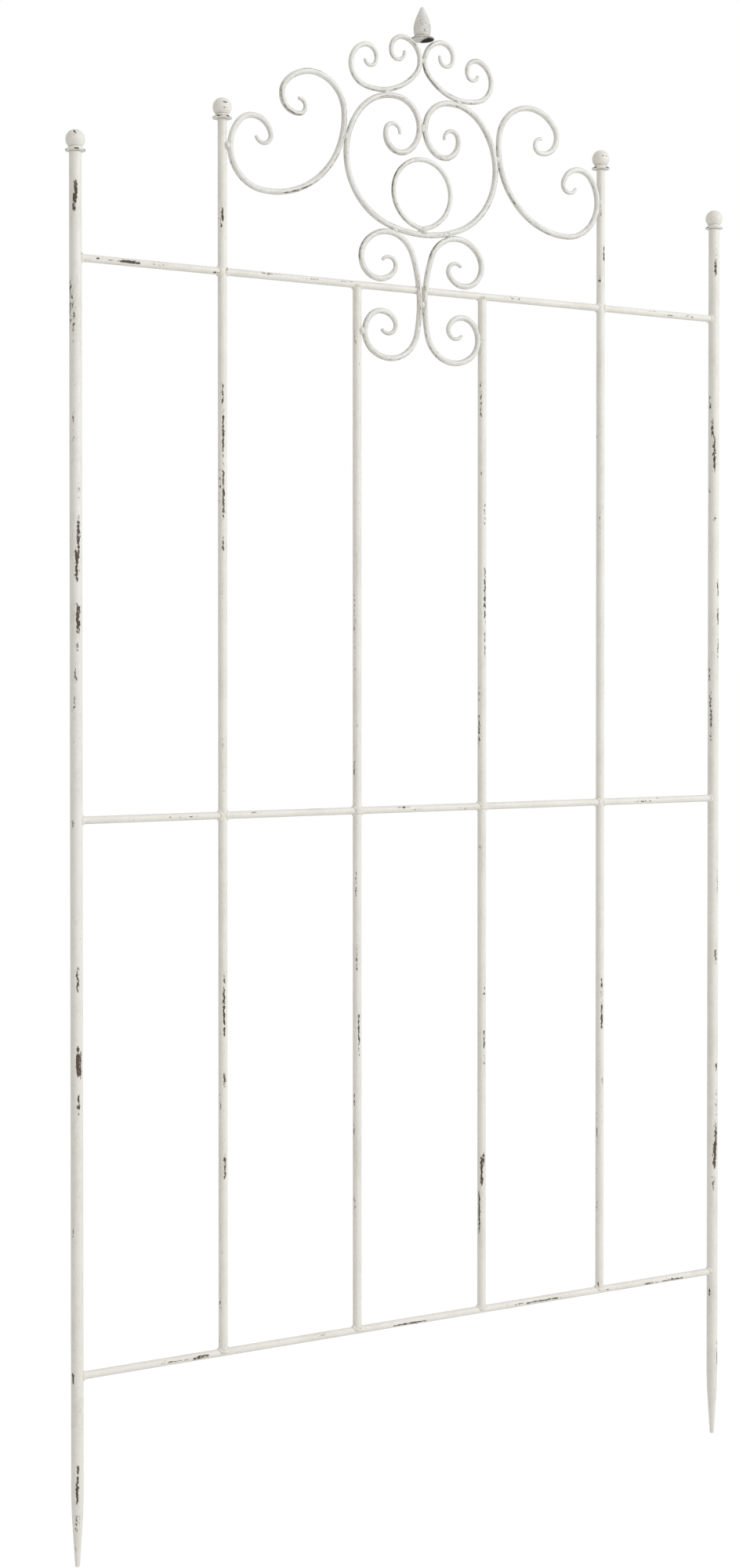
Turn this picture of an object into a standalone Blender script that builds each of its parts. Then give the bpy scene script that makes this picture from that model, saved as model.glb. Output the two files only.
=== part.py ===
"""Garden trellis: a welded panel of painted iron tube and rod on two spiked posts.

Two tall posts stand in the soil and carry three rails. Two stiles and two pairs of centre
bars divide the panel into bays. Scrolls bent from round rod fill the top, a bud stands on
them, and balls close the tubes.

Metres. X runs along the panel, Y from its front to its back, Z up. The origin is where the
soil line crosses the middle of the panel.
"""
import math

import bmesh
import bpy
import numpy as np
from mathutils import Vector

# Gap that is left between two pieces that touch or are welded
CLEARANCE = 0.0003

# Round stock
POST_D = 0.016
POST_WALL = 0.0015
STILE_D = 0.012
STILE_WALL = 0.0012
BAR_D = 0.012
BAR_WALL = 0.0012
RAIL_D = 0.010
ROD_D = 0.008
CROWN_ROD_D = 0.007
INNER_RING_ROD_D = 0.0065

# Frame: spacings are between axes, and heights of rails are above the soil
POST_SPACING = 1.015
STILE_SPACING = 0.604
BAR_SPACING = 0.200
BOTTOM_RAIL_Z = 0.040
MIDDLE_RAIL_Z = 0.740
TOP_RAIL_Z = 1.445

# How far the tubes stand up past the top rail
POST_RISE = 0.132
STILE_RISE = 0.197

# Spikes: how deep the posts reach into the soil, and the drawn-out end of each
SPIKE_DEPTH = 0.200
SPIKE_LENGTH = 0.095
SPIKE_SHOULDER_LENGTH = 0.030
SPIKE_SHOULDER_D = 0.0145
SPIKE_TIP_D = 0.006

# Welded joints: rail ends swell into the weld, and tube ends are coped over the rail
WELD_SWELL = 0.0011
WELD_LENGTH = 0.007
COPE_DEPTH = 0.002

# Caps on the tubes: a flared collar, and a ball whose spigot goes down the tube
BALL_D = 0.025
BALL_SEAT_D = 0.0175
COLLAR_D = 0.026
COLLAR_HEIGHT = 0.0055
COLLAR_RIM = 0.002
SPIGOT_LENGTH = 0.022
SPIGOT_PLAY = 0.0003

# Scroll rods are drawn out towards their tips
TAPER_LENGTH = 0.055
TIP_THICKNESS = 0.0045

# Ring: one rod, bent both ways from the middle of its belly, as radius and degrees
RING_RISE = 0.0755
RING_VOLUTE_GAP = 0.0015
RING_BELLY_DEGREES = 20
RING_BENDS = ((0.0945, 110), (0.066, 56), (0.039, 139), (0.0235, 141), (0.011, 175))

# Inner ring: flatter at its seam, then round
INNER_RING_RADIUS = 0.0455
INNER_RING_SEAM = 0.001
INNER_RING_SEAM_ANGLE = 9
INNER_RING_SHOULDER_ANGLE = 50

# Scrolls of the right-hand half, from their first tip to their last, as radius and degrees
CROWN_HEADING = -95
CROWN_BENDS = ((0.0085, -144), (0.0155, -140), (0.0285, -146), (0.0785, -65),
               (0.029, -121), (0.0185, -117), (0.0105, -177))
SIDE_HEADING = 172
SIDE_BENDS = ((0.010, 178), (0.024, 134), (0.050, 138), (0.111, 100),
              (0.052, 126), (0.0265, 126), (0.011, 178))
SIDE_RISE = {"left": 0.110, "right": 0.095}
SIDE_LEAN = {"left": 5, "right": 0}
LOWER_HEADING = 126
LOWER_BENDS = ((0.0115, 178), (0.0285, 175), (0.0425, 132), (0.200, 31),
               (0.044, 114), (0.0315, 98), (0.024, 106), (0.012, 177))

# How many times a side scroll may be made larger or smaller to fill the gap that it stands in
SIDE_SIZE_RANGE = 5

# Finial: a bud on a hollow skirt. Its flank is a plain cone at a fullness of 1.
BUD_D = 0.024
BUD_HEIGHT = 0.0405
BUD_BELLY_HEIGHT = 0.012
BUD_WAIST_D = 0.0205
BUD_TIP_D = 0.006
BUD_FULLNESS = 1.5
SKIRT_D = 0.033
SKIRT_HEIGHT = 0.004
SKIRT_WALL = 0.0016

# How finely round shapes are divided: the sides of a section, and the height of an arc's chord
POST_SIDES = 20
TUBE_SIDES = 16
CAP_SIDES = 16
RAIL_SIDES = 12
ROD_SIDES = 8
ARC_STEPS = 6
SAGITTA = 0.0004
SMOOTH_ANGLE = math.radians(40)
WELD_DISTANCE = 0.00001

SIDES = {"left": -1, "right": 1}
POST_TOP_Z = TOP_RAIL_Z + POST_RISE
STILE_TOP_Z = TOP_RAIL_Z + STILE_RISE

# The rods lie flush with the front of the posts, as the panel lies face down for welding
SCROLL_Y = -(POST_D - ROD_D) / 2


def new_collection(name):
    group = bpy.data.collections.new(name)
    bpy.context.scene.collection.children.link(group)
    return group


for old_object in list(bpy.data.objects):
    bpy.data.objects.remove(old_object, do_unlink=True)
parts = new_collection("garden_trellis")
cutters = new_collection("cutters")
panel = bpy.data.objects.new("panel", None)
parts.objects.link(panel)


# Materials

def paint(name, colour, roughness):
    material = bpy.data.materials.new(name)
    material.use_nodes = True
    shader = material.node_tree.nodes["Principled BSDF"]
    shader.inputs["Base Color"].default_value = (*colour, 1)
    shader.inputs["Roughness"].default_value = roughness
    shader.inputs["Metallic"].default_value = 0
    return material


def frame_paint():
    """Chalky white on the tubes and rails, with brown iron showing in chips."""
    return paint("frame_paint", (0.79, 0.76, 0.70), 0.55)


def scroll_paint():
    """The same white on the bent rods, a little yellower where it is thin."""
    return paint("scroll_paint", (0.78, 0.75, 0.67), 0.50)


def cap_paint():
    """White on the collars and balls, with dents that hold dirt."""
    return paint("cap_paint", (0.80, 0.78, 0.73), 0.50)


def finial_paint():
    """White on the bud, worn to brown metal at its skirt."""
    return paint("finial_paint", (0.81, 0.79, 0.75), 0.45)


# Centre lines of bent rods, as points (x, z) in the plane of the scrolls

def bend_rod(heading, bends):
    """Centre line of a rod bent arc after arc, from its first tip at (0, 0).

    The rod sets out along heading, and a bend turns it left where its degrees are positive.
    """
    angle = math.radians(heading)
    points = [np.zeros(2)]
    for radius, degrees in bends:
        turn = math.radians(degrees)
        arm = math.copysign(radius, turn)
        centre = points[-1] + arm * np.array((-math.sin(angle), math.cos(angle)))
        steps = math.ceil(abs(turn) / (2 * math.acos(1 - SAGITTA / radius)))
        for step in range(1, steps + 1):
            reached = angle + turn * step / steps
            points.append(centre + arm * np.array((math.sin(reached), -math.cos(reached))))
        angle += turn
    return np.array(points)


def lean(line, degrees):
    """The line turned about its middle, to the left where degrees are positive."""
    turn = math.radians(degrees)
    matrix = np.array(((math.cos(turn), -math.sin(turn)), (math.sin(turn), math.cos(turn))))
    middle = (line.min(axis=0) + line.max(axis=0)) / 2
    return (line - middle) @ matrix.T + middle


def mirrored(line):
    return line * (-1, 1)


def nearest(points, line):
    """Smallest distance from any of the points to the spans of a line."""
    starts = line[:-1]
    spans = np.diff(line, axis=0)
    share = ((points[:, None] - starts) * spans).sum(axis=2) / (spans ** 2).sum(axis=1)
    feet = starts + spans * np.clip(share, 0, 1)[..., None]
    return np.linalg.norm(points[:, None] - feet, axis=2).min()


def distance(line, other):
    return min(nearest(line, other), nearest(other, line))


def last_true(holds, low, high):
    """The largest value for which holds is true, where it turns false between low and high."""
    for _ in range(40):
        middle = (low + high) / 2
        if holds(middle):
            low = middle
        else:
            high = middle
    return low


def settle(line, seat, direction, apart):
    """The line moved along direction until it lies apart from the line that it seats on."""
    direction = np.array(direction)
    step = 0.001
    travel = 0.0
    while distance(line + direction * (travel + step), seat) > apart:
        travel += step
    travel = last_true(lambda way: distance(line + direction * way, seat) > apart,
                       travel, travel + step)
    return line + direction * travel


def beside(upright_d):
    """How far in X a scroll rod's axis lies from the axis of an upright that it touches."""
    touch = (upright_d + ROD_D) / 2 + CLEARANCE
    return math.sqrt(touch ** 2 - SCROLL_Y ** 2)


def ring_line():
    """The ring: its right half, and its left half as the mirror image.

    The belly's radius is the one that leaves RING_VOLUTE_GAP between the two volutes.
    """
    volute_x = (ROD_D + RING_VOLUTE_GAP) / 2

    def half(belly_radius):
        return bend_rod(0, ((belly_radius, RING_BELLY_DEGREES), *RING_BENDS))

    def too_close(belly_radius):
        line = half(belly_radius)
        return line[len(line) // 2:, 0].min() < volute_x

    right = half(last_true(too_close, ROD_D, POST_SPACING))
    line = np.concatenate((mirrored(right)[:0:-1], right))
    return line + (0, TOP_RAIL_Z + RING_RISE)


def inner_ring_line(ring):
    """The inner ring, from one side of its seam to the other, let down on the ring's belly."""
    seam = math.radians(INNER_RING_SEAM_ANGLE)
    shoulder = math.radians(INNER_RING_SHOULDER_ANGLE)
    half_seam = (INNER_RING_SEAM + INNER_RING_ROD_D * math.sin(seam)) / 2
    flat_radius = ((INNER_RING_RADIUS * math.sin(shoulder) - half_seam)
                   / (math.sin(shoulder) - math.sin(seam)))
    right = bend_rod(INNER_RING_SEAM_ANGLE, (
        (flat_radius, INNER_RING_SHOULDER_ANGLE - INNER_RING_SEAM_ANGLE),
        (INNER_RING_RADIUS, 180 - INNER_RING_SHOULDER_ANGLE)))
    right += (half_seam, ring[:, 1].min() + ROD_D + INNER_RING_ROD_D / 2)
    line = np.concatenate((right, mirrored(right)[-2::-1]))
    return settle(line, ring, (0, -1), (ROD_D + INNER_RING_ROD_D) / 2 + CLEARANCE)


def crown_line(ring):
    """Right-hand crown scroll: its back at the panel's middle, its belly on the ring."""
    line = bend_rod(CROWN_HEADING, CROWN_BENDS)
    line -= line.min(axis=0)
    line += ((CROWN_ROD_D + CLEARANCE) / 2, ring[:, 1].max() + ROD_D + CROWN_ROD_D)
    return settle(line, ring, (0, -1), (ROD_D + CROWN_ROD_D) / 2 + CLEARANCE)


def side_line(ring, side):
    """Side scroll as on the right, bent to the size that fills the gap from ring to stile."""
    shape = lean(bend_rod(SIDE_HEADING, SIDE_BENDS), SIDE_LEAN[side])
    outer_x = STILE_SPACING / 2 - beside(STILE_D)
    belly_z = TOP_RAIL_Z + SIDE_RISE[side]

    def placed(size):
        line = shape * size
        return line + (outer_x - line[:, 0].max(), belly_z - line[:, 1].min())

    def clear(size):
        return distance(placed(size), ring) > ROD_D + CLEARANCE

    return placed(last_true(clear, 1 / SIDE_SIZE_RANGE, SIDE_SIZE_RANGE))


def lower_line(ring):
    """Right-hand lower scroll: as wide as the gap to the centre bar, raised to the ring."""
    line = bend_rod(LOWER_HEADING, LOWER_BENDS)
    line -= line.min(axis=0)
    lower_half = line[line[:, 1] < line[:, 1].max() / 2]
    inner_x = (ROD_D + CLEARANCE) / 2
    outer_x = BAR_SPACING / 2 - beside(BAR_D)
    line *= (outer_x - inner_x) / lower_half[:, 0].max()
    line += (inner_x, ring[:, 1].min() - ROD_D - line[:, 1].max() - RING_RISE)
    return settle(line, ring, (0, 1), ROD_D + CLEARANCE)


# Solids

def add_piece(name, data, material):
    """Object for one sub-part, in the panel."""
    data.materials.clear()
    data.materials.append(material)
    piece = bpy.data.objects.new(name, data)
    piece.parent = panel
    parts.objects.link(piece)
    return piece


def round_bar(name, points, radii, sides, material):
    """Solid round bar along a centre line, with a radius of its own at each point."""
    thickest = max(radii)
    curve = bpy.data.curves.new(name, "CURVE")
    curve.dimensions = "3D"
    curve.bevel_depth = thickest
    curve.bevel_resolution = sides // 2 - 2
    curve.use_fill_caps = True
    spline = curve.splines.new("POLY")
    spline.points.add(len(points) - 1)
    for point, place, radius in zip(spline.points, points, radii):
        point.co = (*place, 1)
        point.radius = radius / thickest
    return add_piece(name, curve, material)


def as_mesh(bar):
    """The bar with its curve made a mesh, and its caps joined to its side."""
    bpy.context.view_layer.update()
    evaluated = bar.evaluated_get(bpy.context.evaluated_depsgraph_get())
    mesh = bpy.data.meshes.new_from_object(evaluated)
    work = bmesh.new()
    work.from_mesh(mesh)
    bmesh.ops.remove_doubles(work, verts=work.verts, dist=WELD_DISTANCE)
    work.to_mesh(mesh)
    work.free()
    mesh.shade_smooth()
    mesh.set_sharp_from_angle(angle=SMOOTH_ANGLE)
    name = bar.name
    place = bar.matrix_world.copy()
    material = bar.data.materials[0]
    bpy.data.objects.remove(bar, do_unlink=True)
    piece = add_piece(name, mesh, material)
    piece.matrix_world = place
    return piece


def turned(name, outline, sides, material, bored=False):
    """Turned piece, from points (radius, height) that run down its outer side.

    The outline of a piece that is bored through is closed. Another's starts and ends on the axis.
    """
    mesh = bpy.data.meshes.new(name)
    work = bmesh.new()
    corners = [work.verts.new((radius, 0, height)) for radius, height in outline]
    for first, second in zip(corners, corners[1:]):
        work.edges.new((first, second))
    if bored:
        work.edges.new((corners[-1], corners[0]))
    work.to_mesh(mesh)
    work.free()
    piece = add_piece(name, mesh, material)
    screw = piece.modifiers.new("Turn", "SCREW")
    screw.steps = sides
    screw.render_steps = sides
    screw.use_merge_vertices = True
    screw.merge_threshold = WELD_DISTANCE
    screw.use_smooth_shade = True
    return piece


def as_cutter(piece, name):
    """Take a piece out of the parts, as a tool that only cuts."""
    parts.objects.unlink(piece)
    cutters.objects.link(piece)
    piece.name = name
    piece.hide_render = True
    piece.display_type = "WIRE"
    return piece


def cylinder_cutter(name, diameter, start, end):
    """Cutter the size of a round bar from start to end, and the clearance round it."""
    start = Vector(start)
    end = Vector(end)
    mesh = bpy.data.meshes.new(name)
    work = bmesh.new()
    radius = diameter / 2 + CLEARANCE
    bmesh.ops.create_cone(work, cap_ends=True, segments=POST_SIDES, radius1=radius,
                          radius2=radius, depth=(end - start).length)
    work.to_mesh(mesh)
    work.free()
    cutter = bpy.data.objects.new(name, mesh)
    cutter.location = (start + end) / 2
    cutter.rotation_euler = (end - start).to_track_quat("Z", "Y").to_euler()
    cutter.hide_render = True
    cutter.display_type = "WIRE"
    cutters.objects.link(cutter)
    return cutter


def cut(piece, *tools):
    for tool in tools:
        boolean = piece.modifiers.new("Cope to " + tool.name, "BOOLEAN")
        boolean.operation = "DIFFERENCE"
        boolean.object = tool


def upright_cutter(name, x, diameter):
    """Cutter for what butts against an upright."""
    return cylinder_cutter(name, diameter, (x, 0, BOTTOM_RAIL_Z - POST_D),
                           (x, 0, TOP_RAIL_Z + POST_D))


def rail_cutter(name, z):
    """Cutter for what stands on a rail or ends under it."""
    reach = (STILE_SPACING + POST_SPACING) / 4
    return cylinder_cutter(name, RAIL_D, (-reach, 0, z), (reach, 0, z))


# Uprights

def make_post(side, material):
    """Tube whose lower end is drawn out to a spike. Its bore is open at the top."""
    outer = POST_D / 2
    inner = outer - POST_WALL
    neck = SPIKE_LENGTH - SPIKE_SHOULDER_LENGTH - SPIKE_DEPTH
    post = turned(side + "_post", (
        (0, SPIKE_LENGTH - SPIKE_DEPTH),
        (inner, SPIKE_LENGTH - SPIKE_DEPTH),
        (inner, POST_TOP_Z),
        (outer, POST_TOP_Z),
        (outer, SPIKE_LENGTH - SPIKE_DEPTH),
        (SPIKE_SHOULDER_D / 2, neck),
        (SPIKE_TIP_D / 2, -SPIKE_DEPTH),
        (0, -SPIKE_DEPTH)), POST_SIDES, material)
    post.location.x = SIDES[side] * POST_SPACING / 2
    return post


def make_upright(name, x, diameter, wall, foot_z, top_z, material):
    """Tube that is open at both ends."""
    outer = diameter / 2
    inner = outer - wall
    upright = turned(name, ((outer, top_z), (outer, foot_z), (inner, foot_z), (inner, top_z)),
                     TUBE_SIDES, material, bored=True)
    upright.location.x = x
    return upright


def make_stile(side, bottom_cutter, material):
    """Tube coped over the bottom rail, past the other rails and up beside the scrolls."""
    foot_z = BOTTOM_RAIL_Z + RAIL_D / 2 - COPE_DEPTH
    stile = make_upright(side + "_stile", SIDES[side] * STILE_SPACING / 2, STILE_D, STILE_WALL,
                         foot_z, STILE_TOP_Z, material)
    cut(stile, bottom_cutter)


def make_centre_bar(name, side, below, above, material):
    """Tube between two rails, coped at both ends. Each rail is a height and its cutter."""
    foot_z = below[0] + RAIL_D / 2 - COPE_DEPTH
    top_z = above[0] - RAIL_D / 2 + COPE_DEPTH
    bar = make_upright(name, SIDES[side] * BAR_SPACING / 2, BAR_D, BAR_WALL, foot_z, top_z,
                       material)
    cut(bar, below[1], above[1])


# Rails

def make_rail(name, z, left, right, material):
    """Solid rail from one piece to another, shaped to both and swollen there by the weld.

    Each end is the X at which the bar ends, the X at which it meets the other piece's side,
    and the cutter.
    """
    places = []
    for end_x, side_x, way in ((left[0], left[1], 1), (right[0], right[1], -1)):
        end = [(end_x, WELD_SWELL), (side_x, WELD_SWELL),
               (side_x + way * WELD_LENGTH / 2, WELD_SWELL / 3),
               (side_x + way * WELD_LENGTH, 0)]
        places += end[::way]
    points = [(x, 0, z) for x, swell in places]
    radii = [RAIL_D / 2 + swell for x, swell in places]
    rail = as_mesh(round_bar(name, points, radii, RAIL_SIDES, material))
    cut(rail, left[2], right[2])


def upright_end(x, diameter, way, cutter):
    """Rail end against an upright, where way is +1 on the upright's right side."""
    return (x, x + way * diameter / 2, cutter)


def make_rails(post_cutter, stile_cutter, scroll_end, material):
    """The bottom rail is whole. The stiles break the middle rail, and the rods the top one."""
    post_x = POST_SPACING / 2
    stile_x = STILE_SPACING / 2

    def post_end(side):
        return upright_end(SIDES[side] * post_x, POST_D, -SIDES[side], post_cutter[side])

    def stile_end(side, way):
        return upright_end(SIDES[side] * stile_x, STILE_D, way, stile_cutter[side])

    make_rail("bottom_rail", BOTTOM_RAIL_Z, post_end("left"), post_end("right"), material)
    make_rail("middle_rail_centre", MIDDLE_RAIL_Z, stile_end("left", 1), stile_end("right", -1),
              material)
    for level, z in (("middle", MIDDLE_RAIL_Z), ("top", TOP_RAIL_Z)):
        make_rail(level + "_rail_left", z, post_end("left"), stile_end("left", -1), material)
        make_rail(level + "_rail_right", z, stile_end("right", 1), post_end("right"), material)
    make_rail("top_rail_inner_left", TOP_RAIL_Z, stile_end("left", 1), scroll_end["left"],
              material)
    make_rail("top_rail_inner_right", TOP_RAIL_Z, scroll_end["right"], stile_end("right", -1),
              material)


# Caps

def make_collar(name, x, z, bore, material):
    """Flared collar on a tube's end: a hollow sweep from its rim up to the ball's seat."""
    rim = COLLAR_D / 2
    seat = BALL_SEAT_D / 2
    outline = []
    for step in range(ARC_STEPS, -1, -1):
        angle = math.pi / 2 * step / ARC_STEPS
        outline.append((rim - (rim - seat) * math.sin(angle),
                        COLLAR_HEIGHT - (COLLAR_HEIGHT - COLLAR_RIM) * math.cos(angle)))
    outline.append((rim, COLLAR_RIM / 2))
    outline.append((rim - COLLAR_RIM / 2, 0))
    outline.append((bore / 2, 0))
    outline.append((bore / 2, COLLAR_HEIGHT))
    collar = turned(name, outline, CAP_SIDES, material, bored=True)
    collar.location = (x, 0, z)


def make_ball(name, x, z, spigot, material):
    """Ball with a flat seat, and a spigot below it. Its height z is that of the seat."""
    radius = BALL_D / 2
    seat_angle = math.pi - math.asin(BALL_SEAT_D / BALL_D)
    centre_z = -radius * math.cos(seat_angle)
    outline = []
    for step in range(2 * ARC_STEPS + 1):
        angle = seat_angle * step / (2 * ARC_STEPS)
        outline.append((radius * math.sin(angle), centre_z + radius * math.cos(angle)))
    outline.append((spigot / 2, 0))
    outline.append((spigot / 2, -SPIGOT_LENGTH))
    outline.append((0, -SPIGOT_LENGTH))
    ball = turned(name, outline, CAP_SIDES, material)
    ball.location = (x, 0, z)


def make_cap(name, x, tube_bore, tube_top_z, material):
    """Collar and ball on the open end of a tube."""
    spigot = tube_bore - 2 * SPIGOT_PLAY
    collar_z = tube_top_z + CLEARANCE
    make_collar(name + "_collar", x, collar_z, tube_bore, material)
    make_ball(name + "_ball", x, collar_z + COLLAR_HEIGHT + CLEARANCE, spigot, material)


def make_caps(material):
    for side, sign in SIDES.items():
        make_cap(side + "_post", sign * POST_SPACING / 2, POST_D - 2 * POST_WALL, POST_TOP_Z,
                 material)
        make_cap(side + "_stile", sign * STILE_SPACING / 2, STILE_D - 2 * STILE_WALL,
                 STILE_TOP_Z, material)


# Scrollwork

def make_scroll(name, line, rod_d, material, tapered=True, extra=0):
    """Round rod bent along a line in the scrolls' plane, extra thicker all round."""
    spans = np.linalg.norm(np.diff(line, axis=0), axis=1)
    lengths = np.concatenate(((0,), np.cumsum(spans)))
    from_tip = np.minimum(lengths, lengths[-1] - lengths)
    radii = np.full(len(line), rod_d / 2)
    if tapered:
        share = np.clip(from_tip / TAPER_LENGTH, 0, 1)
        radii = (TIP_THICKNESS + (rod_d - TIP_THICKNESS) * share) / 2
    points = [(x, z, 0) for x, z in line]
    rod = round_bar(name, points, radii + extra, ROD_SIDES, material)
    rod.location.y = SCROLL_Y
    rod.rotation_euler.x = math.pi / 2
    return as_mesh(rod)


def make_pair(name, line, rod_d, material):
    for side, sign in SIDES.items():
        make_scroll(name + "_" + side, line * (sign, 1), rod_d, material)


def rail_end_at_scroll(side, lower, material):
    """Where the top rail ends behind the rod of a lower scroll, and the rod's cutter."""
    back = lower[len(lower) // 4:-len(lower) // 4]
    order = np.argsort(back[:, 1])
    rod_x = np.interp(TOP_RAIL_Z, back[order, 1], back[order, 0])
    sign = SIDES[side]
    tool = make_scroll("cutter", lower * (sign, 1), ROD_D, material, extra=CLEARANCE)
    cutter = as_cutter(tool, "lower_scroll_cutter_" + side)
    return (sign * (rod_x - ROD_D / 4), sign * (rod_x + ROD_D / 2), cutter)


def make_finial(crown, material):
    """Bud on a hollow skirt, whose rim rests in the valley between the crown scrolls."""
    rim = SKIRT_D / 2
    belly = BUD_D / 2
    tip = BUD_TIP_D / 2
    waist = BUD_WAIST_D / 2
    top_z = SKIRT_HEIGHT + BUD_HEIGHT
    belly_z = SKIRT_HEIGHT + BUD_BELLY_HEIGHT
    outline = []
    for step in range(ARC_STEPS // 2):
        angle = math.pi / ARC_STEPS * step
        outline.append((tip * math.sin(angle), top_z - tip + tip * math.cos(angle)))
    for step in range(1, ARC_STEPS + 1):
        share = step / ARC_STEPS
        outline.append((belly - (belly - tip) * (1 - share) ** BUD_FULLNESS,
                        top_z - tip - (top_z - tip - belly_z) * share))
    for step in range(1, ARC_STEPS // 2 + 1):
        share = step / (ARC_STEPS // 2)
        outline.append((belly - (belly - waist) * (1 - math.cos(math.pi / 2 * share)),
                        belly_z - BUD_BELLY_HEIGHT * share))
    outline.append((rim - SKIRT_WALL, SKIRT_HEIGHT - SKIRT_WALL))
    outline.append((rim, SKIRT_HEIGHT - 2 * SKIRT_WALL))
    outline.append((rim, 0))
    outline.append((rim - SKIRT_WALL, 0))
    outline.append((waist, SKIRT_HEIGHT - SKIRT_WALL))
    outline.append((0, SKIRT_HEIGHT - SKIRT_WALL))
    finial = turned("finial", outline, CAP_SIDES, material)

    above = crown[:, 1].max() + CROWN_ROD_D
    edge = np.array(((rim - SKIRT_WALL, above), (rim, above)))
    edge = settle(edge, crown, (0, -1), CROWN_ROD_D / 2 + CLEARANCE)
    finial.location = (0, SCROLL_Y, edge[0, 1])


def make_panel():
    frame = frame_paint()
    scrolls = scroll_paint()
    caps = cap_paint()

    ring = ring_line()
    crown = crown_line(ring)
    lower = lower_line(ring)

    post_cutter = {}
    stile_cutter = {}
    scroll_end = {}
    for side, sign in SIDES.items():
        post_cutter[side] = upright_cutter("post_cutter_" + side, sign * POST_SPACING / 2, POST_D)
        stile_cutter[side] = upright_cutter("stile_cutter_" + side, sign * STILE_SPACING / 2,
                                            STILE_D)
        scroll_end[side] = rail_end_at_scroll(side, lower, scrolls)
    bottom = (BOTTOM_RAIL_Z, rail_cutter("bottom_rail_cutter", BOTTOM_RAIL_Z))
    middle = (MIDDLE_RAIL_Z, rail_cutter("middle_rail_cutter", MIDDLE_RAIL_Z))
    top = (TOP_RAIL_Z, rail_cutter("top_rail_cutter", TOP_RAIL_Z))

    for side in SIDES:
        make_post(side, frame)
        make_stile(side, bottom[1], frame)
        make_centre_bar("lower_bar_" + side, side, bottom, middle, frame)
        make_centre_bar("upper_bar_" + side, side, middle, top, frame)
        make_scroll("side_scroll_" + side, side_line(ring, side) * (SIDES[side], 1), ROD_D,
                    scrolls)
    make_rails(post_cutter, stile_cutter, scroll_end, frame)
    make_caps(caps)
    make_scroll("ring_scroll", ring, ROD_D, scrolls)
    make_scroll("inner_ring", inner_ring_line(ring), INNER_RING_ROD_D, scrolls, tapered=False)
    make_pair("crown_scroll", crown, CROWN_ROD_D, scrolls)
    make_pair("lower_scroll", lower, ROD_D, scrolls)
    make_finial(crown, finial_paint())


make_panel()
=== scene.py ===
"""Looks of the garden trellis: old white paint over bent and welded iron, in soft studio light."""
import math

import bmesh
import bpy
import numpy as np
from mathutils import Matrix, Vector, noise


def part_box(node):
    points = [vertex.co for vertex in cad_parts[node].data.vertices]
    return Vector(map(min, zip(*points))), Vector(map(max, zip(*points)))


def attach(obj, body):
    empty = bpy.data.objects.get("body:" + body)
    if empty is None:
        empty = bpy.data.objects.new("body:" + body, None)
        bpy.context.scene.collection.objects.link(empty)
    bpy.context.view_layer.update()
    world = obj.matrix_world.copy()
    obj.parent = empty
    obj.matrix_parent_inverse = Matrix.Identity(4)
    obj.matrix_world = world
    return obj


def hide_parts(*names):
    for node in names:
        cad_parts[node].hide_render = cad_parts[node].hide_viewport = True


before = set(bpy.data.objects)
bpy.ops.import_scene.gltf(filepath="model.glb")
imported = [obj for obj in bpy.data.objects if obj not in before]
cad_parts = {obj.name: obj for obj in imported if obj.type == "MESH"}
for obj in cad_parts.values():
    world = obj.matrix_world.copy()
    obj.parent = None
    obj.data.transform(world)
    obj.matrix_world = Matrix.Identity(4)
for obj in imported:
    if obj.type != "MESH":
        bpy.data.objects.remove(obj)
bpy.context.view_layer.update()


# Posts: two steel tubes of 16 mm that carry the whole panel. Their feet are drawn out to spikes
# for the soil. Off-white paint was sprayed on and then rubbed back to the brown iron in places.

SHARP_ANGLE = math.radians(40)
TUBE_SIDES = 24
RING_STEP = 0.003
END_ROUNDING = 0.0008
SPIKE_SHOULDER_Z = -0.105
SPIKE_NECK_Z = -0.135
SPIKE_SHOULDER_SHARE = 0.906
SPIKE_TIP_SHARE = 0.375
TUBE_UNEVENNESS = 0.006
UNEVEN_SIZE = 0.02
RUB_SPREAD = 24
GENERAL_WEAR = 0.15
GENERAL_WEAR_SWING = 0.13
WEAR_SIZE = 0.045

# How fine the grain of each layer of the paint is, per metre
CRUMB_GRAIN = 1100
STAIN_GRAIN = 32
MOTTLE_GRAIN = 190
BRUSH_GRAIN = 700
# How much the flakes and the crumbs sway the wear, and how worn the paint is where it has come
# off and where it turns black: with scale in the finial's pits, and with painted shade in the
# hollow under its skirt
FLAKE_SWING = 1.7
CRUMB_SWING = 0.55
CHIPPED_FROM = 0.56
SCALE_AND_SHADE_FROM = 0.95
SCALE_AND_SHADE_SLOPE = 4
# How much each layer ages the white, and which crumbs of bare iron are brown
STAINED_FROM = 0.42
STAIN_WEIGHT = 2.2
MOTTLE_WEIGHT = 1.4
BRUSH_WEIGHT = 1.8
BROWN_FROM = 0.38
BROWN_SLOPE = 3.4
# How much each layer adds to the relief and to the roughness
BRUSH_RELIEF = 0.16
THIN_DEPTH = 0.12
CHIP_DEPTH = 0.55
RELIEF_STRENGTH = 0.75
RELIEF_HEIGHT = 0.0004
ROUGHNESS_SWING = 0.24
BARE_ROUGHNESS = 0.22

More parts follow.
